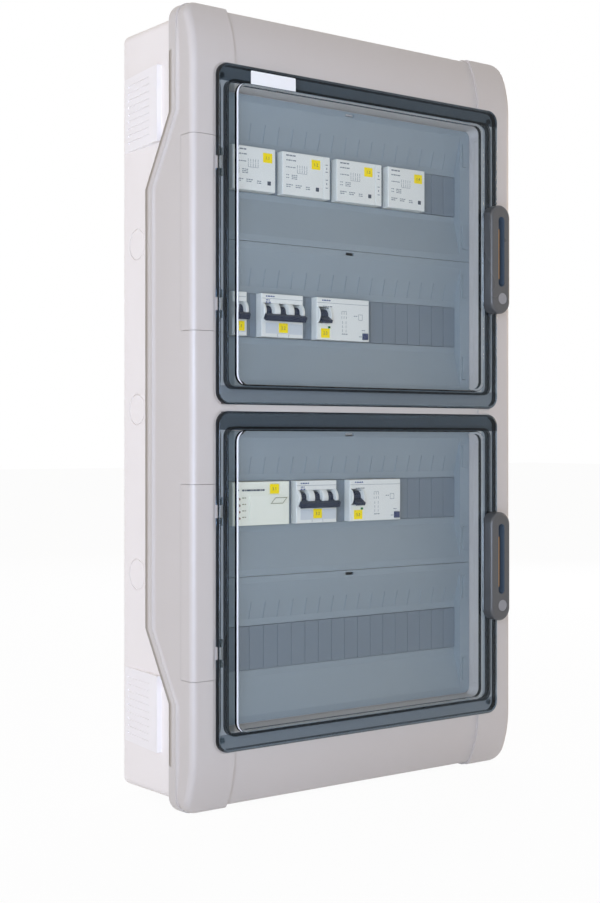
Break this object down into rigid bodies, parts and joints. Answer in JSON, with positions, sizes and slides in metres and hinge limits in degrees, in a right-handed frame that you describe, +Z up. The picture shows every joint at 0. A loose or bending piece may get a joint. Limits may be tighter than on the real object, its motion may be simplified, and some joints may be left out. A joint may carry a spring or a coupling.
{
  "type": "dc combiner box",
  "caption": "Wall-mounted modular combiner enclosure with smoked hinged doors, pull handles, inner covers, DIN rails, relays, breakers and an energy meter.",
  "frame": {"origin": "centre of the flat back face of the base, on the wall plane", "axes": "+X to the right seen from the front, +Y out of the back into the wall, +Z up; the doors face -Y"},
  "size_m": [0.433, 0.172, 0.811],
  "materials": {
    "shell_grey": "fine satin",
    "plate_white": "satin",
    "smoked_glazing": "polished smoked polycarbonate",
    "handle_grey": "semi-gloss",
    "cap_grey": "satin",
    "seal_rubber": "matt",
    "cover_grey": "satin",
    "zinc_steel": "zinc plated",
    "screw_steel": "zinc plated",
    "brass_bar": "satin",
    "device_grey": "satin",
    "meter_cream": "satin",
    "toggle_navy": "satin",
    "button_blue": "semi-gloss",
    "lamp_red": "gloss"
  },
  "bodies": {
    "enclosure": {"aux_contact_2": "device_grey", "aux_contact_3": "device_grey", "base_housing": "shell_grey", "blanking_strip_1": "cover_grey", "blanking_strip_2": "cover_grey", "blanking_strip_3": "cover_grey", "blanking_strip_4": "cover_grey", "breaker_1_pole": "device_grey", "breaker_3_pole_a": "device_grey", "breaker_3_pole_b": "device_grey", "contactor_1": "device_grey", "contactor_2": "device_grey", "contactor_3": "device_grey", "contactor_4": "device_grey", "cover_clips": "cover_grey", "cover_panel_1": "cover_grey", "cover_panel_2": "cover_grey", "cover_panel_3": "cover_grey", "cover_panel_4": "cover_grey", "din_rail_1": "zinc_steel", "din_rail_2": "zinc_steel", "din_rail_3": "zinc_steel", "din_rail_4": "zinc_steel", "door_seal_lower": "seal_rubber", "door_seal_upper": "seal_rubber", "earth_terminal_bar": "brass_bar", "energy_meter": "meter_cream", "frame_screws": "screw_steel", "hinge_insert_lower": "shell_grey", "hinge_insert_upper": "shell_grey", "hinge_pins": "screw_steel", "lid_frame": "shell_grey", "lid_gasket": "seal_rubber", "lid_screws": "screw_steel", "lock_insert_lower": "shell_grey", "lock_insert_upper": "shell_grey", "meter_lamps": "lamp_red", "neutral_terminal_bar": "brass_bar", "residual_breaker_a": "device_grey", "residual_breaker_b": "device_grey", "side_plate_lower_left": "plate_white", "side_plate_lower_right": "plate_white", "side_plate_upper_left": "plate_white", "side_plate_upper_right": "plate_white", "upright_left": "zinc_steel", "upright_right": "zinc_steel"},
    "door_upper": {"door_upper": "smoked_glazing"},
    "door_lower": {"door_lower": "smoked_glazing"},
    "handle_upper": {"handle_upper": "handle_grey", "lock_cap_upper": "cap_grey"},
    "handle_lower": {"handle_lower": "handle_grey", "lock_cap_lower": "cap_grey"},
    "breaker_1_pole_toggle": {"breaker_1_pole_toggle": "toggle_navy"},
    "breaker_3_pole_a_toggle": {"breaker_3_pole_a_toggle": "toggle_navy"},
    "breaker_3_pole_b_toggle": {"breaker_3_pole_b_toggle": "toggle_navy"},
    "residual_breaker_a_test_button": {"residual_breaker_a_test_button": "button_blue"},
    "residual_breaker_a_toggle": {"residual_breaker_a_toggle": "toggle_navy"},
    "residual_breaker_b_test_button": {"residual_breaker_b_test_button": "button_blue"},
    "residual_breaker_b_toggle": {"residual_breaker_b_toggle": "toggle_navy"}
  },
  "joints": [
    {"name": "door_upper_hinge", "type": "hinge", "parent": "enclosure", "child": "door_upper", "pos_m": [-0.182, -0.1505, 0.1725], "axis": [0, 0, -1], "range_deg": [0, 110]},
    {"name": "handle_upper_pivot", "type": "hinge", "parent": "door_upper", "child": "handle_upper", "pos_m": [0.164, -0.1595, 0.171], "axis": [0, 0, -1], "range_deg": [0, 12], "stiffness_Nm_per_rad": 0.2},
    {"name": "door_lower_hinge", "type": "hinge", "parent": "enclosure", "child": "door_lower", "pos_m": [-0.182, -0.1505, -0.1725], "axis": [0, 0, -1], "range_deg": [0, 110]},
    {"name": "handle_lower_pivot", "type": "hinge", "parent": "door_lower", "child": "handle_lower", "pos_m": [0.164, -0.1595, -0.174], "axis": [0, 0, -1], "range_deg": [0, 12], "stiffness_Nm_per_rad": 0.2},
    {"name": "breaker_1_pole_toggle_pivot", "type": "hinge", "parent": "enclosure", "child": "breaker_1_pole_toggle", "pos_m": [-0.14, -0.114, 0.1015], "axis": [-1, 0, 0], "range_deg": [0, 70]},
    {"name": "breaker_3_pole_a_toggle_pivot", "type": "hinge", "parent": "enclosure", "child": "breaker_3_pole_a_toggle", "pos_m": [-0.0875, -0.114, 0.1015], "axis": [-1, 0, 0], "range_deg": [0, 70]},
    {"name": "residual_breaker_a_toggle_pivot", "type": "hinge", "parent": "enclosure", "child": "residual_breaker_a_toggle", "pos_m": [-0.03475, -0.114, 0.1015], "axis": [-1, 0, 0], "range_deg": [0, 70]},
    {"name": "residual_breaker_a_test_push", "type": "slide", "parent": "enclosure", "child": "residual_breaker_a_test_button", "axis": [0, 1, 0], "range_m": [0, 0.0015], "stiffness_N_per_m": 300},
    {"name": "breaker_3_pole_b_toggle_pivot", "type": "hinge", "parent": "enclosure", "child": "breaker_3_pole_b_toggle", "pos_m": [-0.04375, -0.114, -0.0935], "axis": [-1, 0, 0], "range_deg": [0, 70]},
    {"name": "residual_breaker_b_toggle_pivot", "type": "hinge", "parent": "enclosure", "child": "residual_breaker_b_toggle", "pos_m": [0.009, -0.114, -0.0935], "axis": [-1, 0, 0], "range_deg": [0, 70]},
    {"name": "residual_breaker_b_test_push", "type": "slide", "parent": "enclosure", "child": "residual_breaker_b_test_button", "axis": [0, 1, 0], "range_m": [0, 0.0015], "stiffness_N_per_m": 300}
  ]
}
